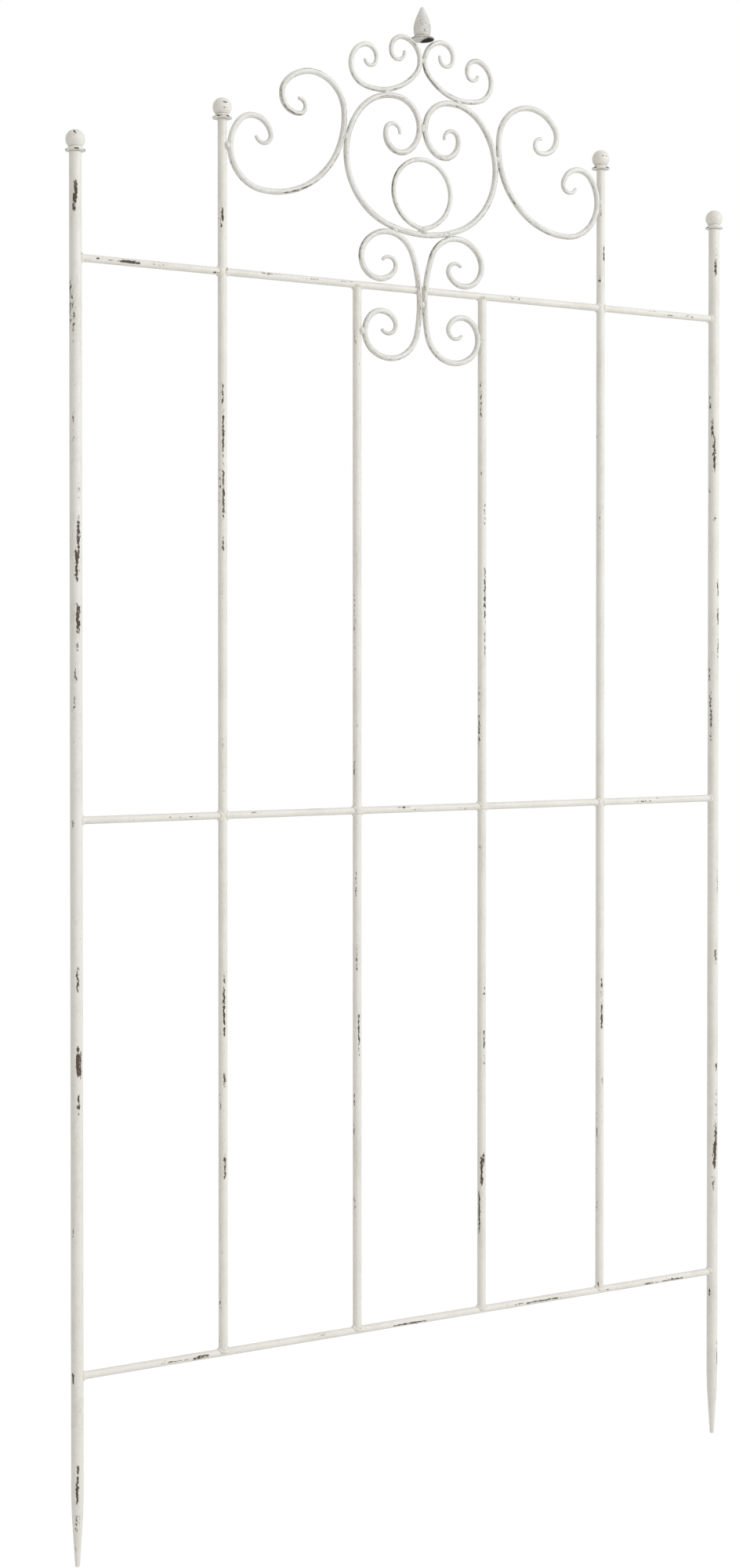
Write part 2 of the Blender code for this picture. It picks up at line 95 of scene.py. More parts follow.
# Each rub is where it starts and ends along the bar, the way it faces and how bare it is.
# It faces the front at 0 degrees, and at 90 the bar's right or, on a rail, its underside.
POST_RUBS = {
    "left_post": (
        (-0.182, -0.166, -55, 0.60), (-0.160, -0.128, -34, 0.60), (-0.150, -0.130, -6, 0.56),
        (-0.126, -0.084, -27, 0.88), (-0.096, -0.064, -20, 0.72), (0.030, 0.050, -64, 0.78),
        (0.204, 0.234, -60, 0.43), (0.366, 0.402, -5, 0.72), (0.410, 0.462, -13, 0.94),
        (0.412, 0.458, 9, 0.84), (0.518, 0.562, -14, 0.70), (0.728, 0.746, -58, 0.50),
        (0.856, 0.904, -43, 0.50), (0.906, 0.934, -26, 0.56), (0.948, 0.968, -10, 0.66),
        (0.970, 1.016, -12, 0.88), (0.972, 1.014, 2, 0.80), (1.034, 1.086, -16, 0.88),
        (1.060, 1.128, 0, 0.86), (1.132, 1.172, 4, 0.48), (1.204, 1.264, -46, 0.50),
        (1.330, 1.414, -46, 0.55), (1.350, 1.434, -78, 0.62), (1.496, 1.528, -38, 0.86),
        (1.508, 1.544, -20, 0.92)),
    "right_post": (
        (-0.106, -0.054, 30, 0.62), (0.000, 0.020, -68, 0.66), (0.160, 0.188, -27, 0.62),
        (0.188, 0.238, -14, 0.92), (0.204, 0.270, 0, 0.86), (0.262, 0.330, 10, 0.52),
        (0.332, 0.354, 6, 0.70), (0.490, 0.528, -6, 0.66), (0.594, 0.640, 18, 0.56),
        (0.820, 0.846, -66, 0.60), (0.838, 0.878, -62, 0.68), (0.866, 0.904, -72, 0.66),
        (0.908, 0.942, -84, 0.64), (0.924, 0.988, 22, 0.60), (0.990, 1.022, 18, 0.76),
        (1.030, 1.066, 16, 0.70), (1.144, 1.160, -27, 0.60), (1.186, 1.202, -86, 0.60),
        (1.212, 1.278, -31, 0.78), (1.268, 1.302, -54, 0.74), (1.304, 1.338, -84, 0.66),
        (1.506, 1.532, -23, 0.82), (1.522, 1.550, -12, 0.54))}


class Value:
    """A value in a finish. Sums and products of values add the Math nodes that work them out."""

    def __init__(self, tree, socket):
        self.tree = tree
        self.socket = socket

    def maths(self, operation, *values):
        return add_node(self.tree, "ShaderNodeMath", {"operation": operation},
                        dict(enumerate(values)))

    def __add__(self, other):
        return self.maths("ADD", self, other)

    __radd__ = __add__

    def __sub__(self, other):
        return self.maths("SUBTRACT", self, other)

    def __rsub__(self, other):
        return self.maths("SUBTRACT", other, self)

    def __mul__(self, other):
        return self.maths("MULTIPLY", self, other)

    __rmul__ = __mul__

    def kept_in(self, low, high):
        return self.maths("MINIMUM", self.maths("MAXIMUM", self, low), high)


def add_node(tree, kind, settings, sockets, output=0):
    """Node with its settings, then with a number or a link on each socket that is named."""
    node = tree.nodes.new(kind)
    for name, setting in settings.items():
        setattr(node, name, setting)
    for name, value in sockets.items():
        if isinstance(value, Value):
            tree.links.new(value.socket, node.inputs[name])
        else:
            node.inputs[name].default_value = value
    return Value(tree, node.outputs[output]) if node.outputs else node


def grain(tree, place, scale, detail, roughness=0.6):
    return add_node(tree, "ShaderNodeTexNoise", {},
                    {"Vector": place, "Scale": scale, "Detail": detail, "Roughness": roughness})


def blend(tree, share, first, second):
    """Colour between two colours; its factor and colours are the Mix node's sockets 0, 6 and 7."""
    return add_node(tree, "ShaderNodeMix", {"data_type": "RGBA"},
                    {0: share, 6: first, 7: second}, output=2)


def rubbed_paint(name, white, aged, roughness, lumps, flaking, streaking, sharpness,
                 thin_from=0.44, thin_slope=7, thinning=0.62):
    """White paint, mottled with age, that flakes to brown iron where the piece is worn.

    The stock attribute is a point's place on the bar before it was bent, so flakes run along
    the bar, and the wear_and_shade attribute says how bare the bar is there. It carries painted
    shade as well: grey along the edges of the scrolls, and black in the hollow under the
    finial's skirt. The higher the flaking, the finer the flakes, and the lower the streaking,
    the longer they are. A low sharpness leaves paint that is rubbed thin, and a high one paint
    that has come off in chips. Beside the chips the paint is rubbed thin too: thin_from is how
    bare it is where that begins, thin_slope how fast it grows, and thinning how much primer
    shows in the end.
    """
    primer = (0.46, 0.42, 0.37, 1)
    dark_iron = (0.040, 0.029, 0.024, 1)
    brown_iron = (0.165, 0.118, 0.086, 1)
    # Black for scale on the iron, and for painted shade in the hollow under the finial's skirt
    black_scale_and_shade = (0.012, 0.011, 0.012, 1)
    material = bpy.data.materials.new(name)
    material.use_nodes = True
    tree = material.node_tree
    tree.nodes.clear()

    stock = add_node(tree, "ShaderNodeAttribute", {"attribute_name": "stock"}, {}, "Vector")
    wear_and_shade = add_node(tree, "ShaderNodeAttribute", {"attribute_name": "wear_and_shade"}, {}, "Fac")
    along = add_node(tree, "ShaderNodeVectorMath", {"operation": "MULTIPLY"},
                     {0: stock, 1: (1, 1, streaking)})
    flakes = grain(tree, along, flaking, 4)
    crumbs = grain(tree, stock, CRUMB_GRAIN, 3)
    stains = grain(tree, along, STAIN_GRAIN, 3)
    mottle = grain(tree, along, MOTTLE_GRAIN, 3)
    brushing = grain(tree, along, BRUSH_GRAIN, 2)

    loose = wear_and_shade + (flakes - 0.5) * FLAKE_SWING + (crumbs - 0.5) * CRUMB_SWING
    bare = ((loose - CHIPPED_FROM) * sharpness).kept_in(0, 1)
    thin = ((loose - thin_from) * thin_slope).kept_in(0, 1)
    # Where the value is highest the colour goes black: scale in the finial's pits, painted shade
    # under its skirt.
    scale_and_shade = ((wear_and_shade - SCALE_AND_SHADE_FROM) * SCALE_AND_SHADE_SLOPE).kept_in(0, 1)
    age = ((stains - STAINED_FROM) * STAIN_WEIGHT + (mottle - 0.5) * MOTTLE_WEIGHT
           + (brushing - 0.5) * BRUSH_WEIGHT).kept_in(0, 1)
    brown = ((crumbs - BROWN_FROM) * BROWN_SLOPE).kept_in(0, 1)

    paint = blend(tree, age, white, aged)
    worn_paint = blend(tree, thin * thinning, paint, primer)
    iron = blend(tree, brown, dark_iron, brown_iron)
    colour = blend(tree, bare, worn_paint, blend(tree, scale_and_shade, iron, black_scale_and_shade))
    skin = brushing * BRUSH_RELIEF + mottle * lumps - thin * THIN_DEPTH - bare * CHIP_DEPTH
    bump = add_node(tree, "ShaderNodeBump", {},
                    {"Strength": RELIEF_STRENGTH, "Distance": RELIEF_HEIGHT, "Height": skin})
    shader = add_node(tree, "ShaderNodeBsdfPrincipled", {}, {
        "Base Color": colour,
        "Roughness": (mottle - 0.5) * ROUGHNESS_SWING + roughness + bare * BARE_ROUGHNESS,
        "Normal": bump})
    add_node(tree, "ShaderNodeOutputMaterial", {}, {"Surface": shader})
    return material


def straight_bar(length, radius, sides, step=RING_STEP):
    """Straight round bar up from the origin, with a ring of points at each step."""
    work = bmesh.new()
    bmesh.ops.create_cone(work, cap_ends=True, segments=sides, radius1=radius, radius2=radius,
                          depth=length, matrix=Matrix.Translation((0, 0, length / 2)))
    upright = [edge for edge in work.edges
               if abs(edge.verts[0].co.z - edge.verts[1].co.z) > length / 2]
    bmesh.ops.subdivide_edges(work, edges=upright, cuts=round(length / step),
                              use_grid_fill=True)
    rims = [edge for edge in work.edges
            if all(point.co.z < step / 4 or point.co.z > length - step / 4
                   for point in edge.verts)]
    bmesh.ops.bevel(work, geom=rims, offset=END_ROUNDING, segments=3, profile=0.5,
                    affect="EDGES", material=-1)
    return work


def mark_stock(work, cut_from):
    """Keep each point's place on the straight bar, as if it was cut from a long painted one.

    Each bar is cut from another stretch, so that no two show the same pattern.
    """
    stock = work.verts.layers.float_vector.new("stock")
    for point in work.verts:
        point[stock] = point.co + Vector((0, 0, cut_from))
    return stock


def draw_out(work, shares, unevenness):
    """Thin the bar to a share of its radius at each height, and leave it slightly uneven."""
    heights = [height for height, share in shares]
    sizes = [share for height, share in shares]
    for point in work.verts:
        size = np.interp(point.co.z, heights, sizes)
        ripple = noise.noise(point.co / UNEVEN_SIZE + Vector((heights[-1], 0, 0))) - 1
        point.co.x *= size * (1 + unevenness * ripple)
        point.co.y *= size * (1 + unevenness * ripple)


def wear_bar(work, stock, rubs, start, cut_from, general=GENERAL_WEAR, spread=RUB_SPREAD):
    """How bare each point of a straight bar is, from its rubs and from its general wear."""
    wear_and_shade = work.verts.layers.float.new("wear_and_shade")
    for point in work.verts:
        place = point[stock]
        along = place.z - cut_from + start
        facing = math.degrees(math.atan2(place.x, -place.y))
        bare = general + GENERAL_WEAR_SWING * noise.noise(place / WEAR_SIZE)
        for low, high, side, strength in rubs:
            ahead = (2 * along - low - high) / (high - low)
            away = abs((facing - side + 180) % 360 - 180) / spread
            bare = max(bare, strength * max(1 - ahead ** 4, 0) * max(1 - away ** 2, 0))
        point[wear_and_shade] = bare


def add_piece(name, work, material, slot, *nodes):
    """Finished piece, which stands for the nodes that it takes the place of."""
    mesh = bpy.data.meshes.new(name)
    work.to_mesh(mesh)
    work.free()
    mesh.shade_smooth()
    mesh.set_sharp_from_angle(angle=SHARP_ANGLE)
    mesh.materials.append(material)
    piece = bpy.data.objects.new(name, mesh)
    bpy.context.scene.collection.objects.link(piece)
    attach(piece, "root")
    if nodes:
        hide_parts(*nodes)


def make_upright(node, rubs, shares=None):
    """Round tube in the place of an upright node, with shares of its radius at heights."""
    low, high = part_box(node)
    middle = (low + high) / 2
    length = high.z - low.z
    cut_from = 9 * middle.x + 3 * low.z
    work = straight_bar(length, (high.x - low.x) / 2, TUBE_SIDES)
    stock = mark_stock(work, cut_from)
    wear_bar(work, stock, rubs, low.z, cut_from)
    profile = shares or ((low.z, 1), (high.z, 1))
    draw_out(work, [(height - low.z, share) for height, share in profile], TUBE_UNEVENNESS)
    bmesh.ops.translate(work, verts=work.verts, vec=(middle.x, middle.y, low.z))
    add_piece(node + "_tube", work, frame_paint, "frame_paint", node)


frame_paint = rubbed_paint("frame_paint", white=(0.835, 0.815, 0.765, 1),
                           aged=(0.73, 0.70, 0.635, 1), roughness=0.52, lumps=0.30,
                           flaking=380, streaking=0.50, sharpness=12)
for post, rubs in POST_RUBS.items():
    low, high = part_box(post)
    make_upright(post, rubs, ((low.z, SPIKE_TIP_SHARE), (SPIKE_NECK_Z, SPIKE_SHOULDER_SHARE),
                              (SPIKE_SHOULDER_Z, 1), (high.z, 1)))


# Stiles: two tubes of 12 mm that stand on the bottom rail and run up past the other rails to
# hold the side scrolls. They are painted with the posts and rubbed back like them.

STILE_RUBS = {
    "left_stile": (
        (0.096, 0.114, -68, 0.64), (0.260, 0.304, -2, 0.80), (0.344, 0.382, -62, 0.54),
        (0.384, 0.416, -5, 0.70), (0.450, 0.478, -9, 0.72), (0.468, 0.524, -14, 0.88),
        (0.518, 0.538, -7, 0.66), (0.824, 0.842, -32, 0.58), (1.078, 1.106, -20, 0.68),
        (1.114, 1.204, -16, 0.80), (1.130, 1.210, -66, 0.50), (1.194, 1.274, -18, 0.76),
        (1.266, 1.304, -25, 0.70), (1.498, 1.512, -42, 0.64), (1.506, 1.530, -25, 0.90)),
    "right_stile": (
        (0.042, 0.054, -50, 0.72), (0.148, 0.186, -80, 0.56), (0.200, 0.218, -80, 0.54),
        (0.244, 0.302, -76, 0.52), (0.330, 0.348, 2, 0.62), (0.408, 0.460, -9, 0.90),
        (0.458, 0.496, -7, 0.74), (0.738, 0.750, -62, 0.56), (1.116, 1.154, -44, 0.48),
        (1.250, 1.268, -95, 0.56), (1.478, 1.492, -52, 0.60), (1.506, 1.538, 15, 0.78),
        (1.570, 1.588, -20, 0.54))}

for stile, rubs in STILE_RUBS.items():
    make_upright(stile, rubs)


# Rails: three solid bars of 10 mm. The bottom one is whole, the stiles break the middle one,
# and the top one also stops at the lower scrolls. Each end is flared by its weld.

RAIL_SIDES = 20
RAIL_FLARE = 1.22
RAIL_FLARE_LENGTH = 0.008
RAIL_FLARE_RINGS = 4
RAIL_RUBS = {
    "bottom_rail": (
        (-0.398, -0.348, -2, 0.64), (-0.354, -0.320, -12, 0.84), (-0.352, -0.322, 12, 0.88),
        (-0.170, -0.124, -20, 0.46), (-0.054, 0.016, 18, 0.90), (0.148, 0.172, -4, 0.68),
        (0.162, 0.238, 3, 0.86), (0.290, 0.304, -58, 0.72), (0.308, 0.318, 0, 0.66),
        (0.372, 0.414, 18, 0.78), (0.404, 0.458, 16, 0.82)),
    "middle_rail_left": ((-0.384, -0.376, 0, 0.56), (-0.374, -0.336, 2, 0.60)),
    "middle_rail_centre": (
        (-0.266, -0.240, -30, 0.50), (-0.054, -0.008, -30, 0.68), (-0.024, 0.002, 14, 0.54),
        (0.056, 0.084, 24, 0.50)),
    "middle_rail_right": (
        (0.316, 0.328, -20, 0.54), (0.356, 0.394, 14, 0.70), (0.384, 0.414, -38, 0.58)),
    "top_rail_left": (
        (-0.484, -0.470, -7, 0.72), (-0.468, -0.453, 4, 0.66), (-0.456, -0.418, -5, 0.92),
        (-0.454, -0.416, 14, 0.92), (-0.414, -0.378, 2, 0.56), (-0.320, -0.306, 38, 0.70)),
    "top_rail_inner_left": (
        (-0.264, -0.204, -24, 0.58), (-0.238, -0.220, -22, 0.68), (-0.194, -0.148, 0, 0.54),
        (-0.142, -0.098, -18, 0.50)),
    "top_rail_inner_right": ((0.128, 0.170, -10, 0.56),),
    "top_rail_right": (
        (0.384, 0.398, -16, 0.54), (0.408, 0.434, 20, 0.66), (0.444, 0.472, 6, 0.62))}


def make_rail(node, rubs):
    """Solid bar in the place of a rail node, flared at both ends."""
    low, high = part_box(node)
    middle = (low + high) / 2
    length = high.x - low.x
    cut_from = 9 * low.x + 5 * middle.z
    work = straight_bar(length, (high.z - low.z) / 2 / RAIL_FLARE, RAIL_SIDES)
    stock = mark_stock(work, cut_from)
    wear_bar(work, stock, rubs, low.x, cut_from)
    end = []
    for ring in range(RAIL_FLARE_RINGS + 1):
        way = ring / RAIL_FLARE_RINGS
        end.append((RAIL_FLARE_LENGTH * way, 1 + (RAIL_FLARE - 1) * (1 - way) ** 2))
    other_end = [(length - height, share) for height, share in reversed(end)]
    draw_out(work, end + other_end, TUBE_UNEVENNESS)
    bmesh.ops.rotate(work, verts=work.verts, cent=(0, 0, 0),
                     matrix=Matrix.Rotation(math.pi / 2, 3, "Y"))
    bmesh.ops.translate(work, verts=work.verts, vec=(low.x, middle.y, middle.z))
    add_piece(node + "_bar", work, frame_paint, "frame_paint", node)


for rail, rubs in RAIL_RUBS.items():
    make_rail(rail, rubs)


# Centre bars: two lines of 12 mm tube, each cut in two by the middle rail. They are welded
# to the rails at both ends.

BAR_RUBS = {
    "lower_bar_left": (
        (0.196, 0.232, -68, 0.54), (0.296, 0.330, -75, 0.50), (0.340, 0.364, -68, 0.58),
        (0.404, 0.476, -8, 0.72), (0.498, 0.582, -36, 0.55), (0.610, 0.666, -45, 0.55)),
    "lower_bar_right": (
        (0.140, 0.214, -68, 0.88), (0.206, 0.260, -30, 0.90), (0.240, 0.264, -5, 0.72),
        (0.376, 0.402, 2, 0.54), (0.400, 0.438, 3, 0.78), (0.466, 0.496, 3, 0.62),
        (0.674, 0.688, -70, 0.56)),
    "upper_bar_left": (
        (0.782, 0.810, -72, 0.64), (0.850, 0.862, -32, 0.56), (0.916, 0.938, -60, 0.54),
        (0.930, 1.064, -70, 0.52), (1.332, 1.348, -10, 0.60), (1.358, 1.394, -58, 0.56)),
    "upper_bar_right": (
        (0.820, 0.874, -74, 0.70), (0.882, 0.908, -74, 0.60), (0.938, 0.990, 10, 0.62),
        (0.982, 1.084, 13, 0.82), (1.126, 1.166, 10, 0.58), (1.190, 1.208, -50, 0.60),
        (1.274, 1.334, -50, 0.60), (1.274, 1.294, -48, 0.70))}

for bar, rubs in BAR_RUBS.items():
    make_upright(bar, rubs)


# Welds of the frame: a bead runs round each end of a rail or bar where it meets a round
# seat. They were laid by hand, so they are lumpy, and the paint lies thick over them.

BEAD_RADIUS = 0.0020
BEAD_SIDES = 12
BEAD_STEPS = 36
BEAD_LUMP_SIZE = 0.0032
BEAD_LUMPINESS = 0.20
WELD_WEAR = 0.22
WELD_WEAR_SWING = 0.22
WELD_WEAR_SIZE = 0.006
LEAST_SADDLE = 0.35


def add_bead(work, bar_radius, seat_radius, place):
    """Bead round a bar that stands on a round seat; place turns and moves it from upright."""
    first = len(work.verts)
    section = bmesh.ops.create_circle(
        work, radius=BEAD_RADIUS, segments=BEAD_SIDES,
        matrix=Matrix.Translation((bar_radius, 0, 0)) @ Matrix.Rotation(math.pi / 2, 4, "X"))
    rim = {edge for point in section["verts"] for edge in point.link_edges}
    bmesh.ops.spin(work, geom=section["verts"] + list(rim), cent=(0, 0, 0), axis=(0, 0, 1),
                   angle=2 * math.pi, steps=BEAD_STEPS, use_merge=True)
    work.verts.ensure_lookup_table()
    bead = work.verts[first:]
    for point in bead:
        way_round = math.atan2(point.co.y, point.co.x)
        axis = Vector((math.cos(way_round), math.sin(way_round), 0)) * bar_radius
        saddle = math.sqrt(max(seat_radius ** 2 - axis.y ** 2,
                               (LEAST_SADDLE * seat_radius) ** 2))
        lump = noise.noise((axis + place.translation) / BEAD_LUMP_SIZE)
        point.co = axis + (point.co - axis) * (1 + BEAD_LUMPINESS * lump)
        point.co.z += saddle
    bmesh.ops.transform(work, matrix=place, verts=bead)


def paint_welds(work):
    """Patterns on welds follow the place itself, and the wear is much the same all over."""
    stock = mark_stock(work, 0)
    wear_and_shade = work.verts.layers.float.new("wear_and_shade")
    for point in work.verts:
        swing = noise.noise(point[stock] / WELD_WEAR_SIZE)
        point[wear_and_shade] = WELD_WEAR + WELD_WEAR_SWING * swing


def middle_of(node):
    low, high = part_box(node)
    return (low + high) / 2


def half_width(node):
    low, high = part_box(node)
    return (high.x - low.x) / 2


def rail_radius(node):
    low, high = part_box(node)
    return (high.z - low.z) / 2 / RAIL_FLARE


def rail_bead(work, rail, upright, way):
    """Bead where a rail's end meets an upright; way is +1 on the upright's right side."""
    seat = middle_of(upright)
    place = Matrix.Translation((seat.x, seat.y, middle_of(rail).z))
    turn = Matrix.Rotation(way * math.pi / 2, 4, "Y")
    add_bead(work, rail_radius(rail), half_width(upright), place @ turn)


def bar_bead(work, bar, rail, way):
    """Bead where a bar's end meets a rail; way is +1 on top of the rail."""
    seat = middle_of(rail)
    place = Matrix.Translation((middle_of(bar).x, seat.y, seat.z))
    turn = Matrix.Rotation(0 if way > 0 else math.pi, 4, "X")
    add_bead(work, half_width(bar), rail_radius(rail), place @ turn)


beads = bmesh.new()
for side, way in (("left", 1), ("right", -1)):
    rail_bead(beads, "bottom_rail", side + "_post", way)
    bar_bead(beads, side + "_stile", "bottom_rail", 1)
    bar_bead(beads, "lower_bar_" + side, "bottom_rail", 1)
    bar_bead(beads, "lower_bar_" + side, "middle_rail_centre", -1)
    bar_bead(beads, "upper_bar_" + side, "middle_rail_centre", 1)
    bar_bead(beads, "upper_bar_" + side, "top_rail_inner_" + side, -1)
    for level in ("middle", "top"):
        rail_bead(beads, level + "_rail_" + side, side + "_post", way)
        rail_bead(beads, level + "_rail_" + side, side + "_stile", -way)
    rail_bead(beads, "middle_rail_centre", side + "_stile", way)
    rail_bead(beads, "top_rail_inner_" + side, side + "_stile", way)
paint_welds(beads)
add_piece("frame_welds", beads, frame_paint, "frame_paint")


# Lower scrolls: a pair of 8 mm rods bent cold round formers, back to back between the centre
# bars. Their tips were drawn out thinner first. The paint is rubbed along their edges, and
# painted shade greys those edges as well.

ROD_SIDES = 18
ROD_STEP = 0.002
ROD_D = 0.008
ROD_UNEVENNESS = 0.03
LINE_STEP = 0.0005
TAPER_LENGTH = 0.055
TIP_THICKNESS = 0.0045
ROD_WEAR = 0.21
ROD_RUB_SPREAD = 25
# The edge stretches are partly wear and partly painted shade: they grey both edges of every rod at
# fixed facings, where the outlines fall into shade.
EDGE_SHADE_AND_RUB_FACINGS = (-70, 62)
EDGE_SHADE_AND_RUB_SPREAD = 26
EDGE_SHADE_AND_RUB = 0.45
EDGE_SHADE_AND_RUB_SIZE = 0.035
EDGE_SHADE_AND_RUB_SHARE = 0.35
EDGE_SHADE_AND_RUB_SLOPE = 2.5
LOWER_HEADING = 126
LOWER_BENDS = ((0.0115, 178), (0.0285, 175), (0.0425, 132), (0.200, 31),
               (0.044, 114), (0.0315, 98), (0.024, 106), (0.012, 177))

# A rub on a scroll is the x and z that it lies by, its reach along the rod, the way it faces
# and how bare it is.
LOWER_RUBS = {
    "left": ((-0.008, 1.440, 0.050, 18, 0.56), (-0.008, 1.410, 0.040, -10, 0.50),
             (-0.098, 1.500, 0.024, -70, 0.86), (-0.075, 1.520, 0.020, -45, 0.58),
             (-0.096, 1.395, 0.024, -65, 0.60), (-0.035, 1.350, 0.030, -45, 0.55)),
    "right": ((0.018, 1.500, 0.022, 68, 0.84), (0.040, 1.522, 0.020, 50, 0.58),
              (0.096, 1.405, 0.014, 30, 0.66), (0.094, 1.495, 0.020, 48, 0.58),
              (0.020, 1.360, 0.024, 60, 0.60), (0.008, 1.430, 0.030, 30, 0.50))}


def bent_line(heading, bends, lean=0):
    """Axis of a rod bent arc after arc: at each step its way from the tip, x, z and heading.

    A bend is a radius and the degrees that it turns, to the left where they are positive.
    """
    rows = [(0, 0, 0, math.radians(heading + lean))]
    for radius, degrees in bends:
        turn = math.radians(degrees)
        steps = math.ceil(radius * abs(turn) / LINE_STEP)
        chord = 2 * radius * math.sin(abs(turn) / steps / 2)
        for _ in range(steps):
            way, x, z, angle = rows[-1]
            middle = angle + turn / steps / 2
            rows.append((way + radius * abs(turn) / steps, x + chord * math.cos(middle),
                         z + chord * math.sin(middle), angle + turn / steps))
    return np.array(rows)


def mirrored(line):
    """The same rod on the panel's other side."""
    return np.column_stack((line[:, 0], -line[:, 1], line[:, 2], math.pi - line[:, 3]))


def fitted(line, node, rod_d):
    """The line in the place and at the size of a node."""
    low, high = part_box(node)
    line = line.copy()
    line[:, :3] *= (high.x - low.x - rod_d) / np.ptp(line[:, 1])
    line[:, 1] += low.x + rod_d / 2 - line[:, 1].min()
    line[:, 2] += high.z - rod_d / 2 - line[:, 2].max()
    return line


def rub_along(line, x, z, reach, facing, strength):
    """A rub as its start and end along the rod, from the place that it lies by."""
    nearest = np.argmin(np.hypot(line[:, 1] - x, line[:, 2] - z))
    return (line[nearest, 0] - reach, line[nearest, 0] + reach, facing, strength)


def rub_and_shade_edges(work, stock, cut_from):
    """Painted shade and wear in long broken stretches on both edges standing out from the panel.
    """
    wear_and_shade = work.verts.layers.float["wear_and_shade"]
    for point in work.verts:
        place = point[stock]
        facing = math.degrees(math.atan2(place.x, -place.y))
        for side in EDGE_SHADE_AND_RUB_FACINGS:
            away = abs((facing - side + 180) % 360 - 180) / EDGE_SHADE_AND_RUB_SPREAD
            stretch = noise.noise(Vector((side, cut_from, place.z / EDGE_SHADE_AND_RUB_SIZE)))
            rubbed_and_shaded = min(max((stretch + EDGE_SHADE_AND_RUB_SHARE) * EDGE_SHADE_AND_RUB_SLOPE, 0), 1)
            point[wear_and_shade] = max(point[wear_and_shade], EDGE_SHADE_AND_RUB * rubbed_and_shaded * max(1 - away ** 2, 0))


def lay_along(work, line, y):
    """Bend a straight bar so that its axis follows the line."""
    for point in work.verts:
        x, z, angle = (np.interp(point.co.z, line[:, 0], line[:, column])
                       for column in (1, 2, 3))
        side = point.co.x
        point.co = (x + side * math.sin(angle), y + point.co.y, z - side * math.cos(angle))


def make_scroll(node, line, rod_d, rubs, tapered=True):
    """Rod bent along a line, in the place of a node of the scrollwork."""
    length = line[-1, 0]
    cut_from = 7 * line[0, 1] + 3 * line[0, 2]
    work = straight_bar(length, rod_d / 2, ROD_SIDES, ROD_STEP)
    stock = mark_stock(work, cut_from)
    wear_bar(work, stock, [rub_along(line, *rub) for rub in rubs], 0, cut_from,
             ROD_WEAR, ROD_RUB_SPREAD)
    rub_and_shade_edges(work, stock, cut_from)
    tip = TIP_THICKNESS / rod_d if tapered else 1
    draw_out(work, ((0, tip), (TAPER_LENGTH, 1), (length - TAPER_LENGTH, 1), (length, tip)),
             ROD_UNEVENNESS)
    lay_along(work, line, middle_of(node).y)
    add_piece(node + "_rod", work, scroll_paint, "scroll_paint", node)


# The scroll paint thins to grey early, so the edge stretches grey the rods' outlines as painted
# shade, besides their wear.
scroll_paint = rubbed_paint("scroll_paint", white=(0.80, 0.79, 0.76, 1),
                            aged=(0.60, 0.58, 0.535, 1), roughness=0.36, lumps=1.1,
                            flaking=720, streaking=0.25, sharpness=4, thin_from=0.30,
                            thin_slope=3, thinning=0.85)
lines = {}
for side in ("left", "right"):
    line = bent_line(LOWER_HEADING, LOWER_BENDS)
    line = line if side == "right" else mirrored(line)
    lines["lower", side] = fitted(line, "lower_scroll_" + side, ROD_D)
    make_scroll("lower_scroll_" + side, lines["lower", side], ROD_D, LOWER_RUBS[side])


# Ring scroll: one 8 mm rod bent both ways from the middle of its belly, so that its ends roll
# in to two volutes that touch at the top of the ring.

RING_BENDS = ((0.16604, 20), (0.0945, 110), (0.066, 56), (0.039, 139), (0.0235, 141),
              (0.011, 175))
RING_RUBS = (
    (-0.095, 1.670, 0.045, -48, 0.64), (-0.050, 1.700, 0.030, -30, 0.58),
    (0.118, 1.610, 0.040, 30, 0.52), (0.098, 1.562, 0.045, 42, 0.66),
    (0.060, 1.700, 0.030, -50, 0.58), (-0.065, 1.537, 0.035, -35, 0.58),
    (0.030, 1.520, 0.030, 10, 0.52), (-0.008, 1.665, 0.018, 45, 0.62),
    (0.012, 1.670, 0.024, 70, 0.66), (-0.050, 1.610, 0.022, 55, 0.60),
    (0.050, 1.607, 0.022, 60, 0.60))

half = bent_line(0, RING_BENDS)
other_half = mirrored(half)[::-1]
other_half[:, 0] = -other_half[:, 0]
other_half[:, 3] += math.pi
whole = np.concatenate((other_half[:-1], half))
whole[:, 3] = np.unwrap(whole[:, 3])
whole[:, 0] -= whole[0, 0]
lines["ring"] = fitted(whole, "ring_scroll", ROD_D)
make_scroll("ring_scroll", lines["ring"], ROD_D, RING_RUBS)


# Inner ring: a lighter rod of 6.5 mm that stands on the ring's belly. It was rolled round,
# and its two ends meet in one weld at the bottom.

INNER_RING_ROD_D = 0.0065
INNER_RING_HEADING = 9
INNER_RING_BENDS = ((0.05552, 41), (0.0455, 260), (0.05552, 41))
INNER_RING_RUBS = (
    (-0.046, 1.592, 0.028, 70, 1.00), (-0.040, 1.556, 0.034, 62, 0.70),
    (-0.020, 1.620, 0.022, 40, 0.60), (0.030, 1.540, 0.022, 45, 0.60))

lines["inner_ring"] = fitted(bent_line(INNER_RING_HEADING, INNER_RING_BENDS), "inner_ring",
                             INNER_RING_ROD_D)
make_scroll("inner_ring", lines["inner_ring"], INNER_RING_ROD_D, INNER_RING_RUBS,
            tapered=False)


# Side scrolls: the largest scrolls, of 8 mm rod, that fill the gap from the ring to each
# stile. The left one leans a little and hangs higher than the right one.

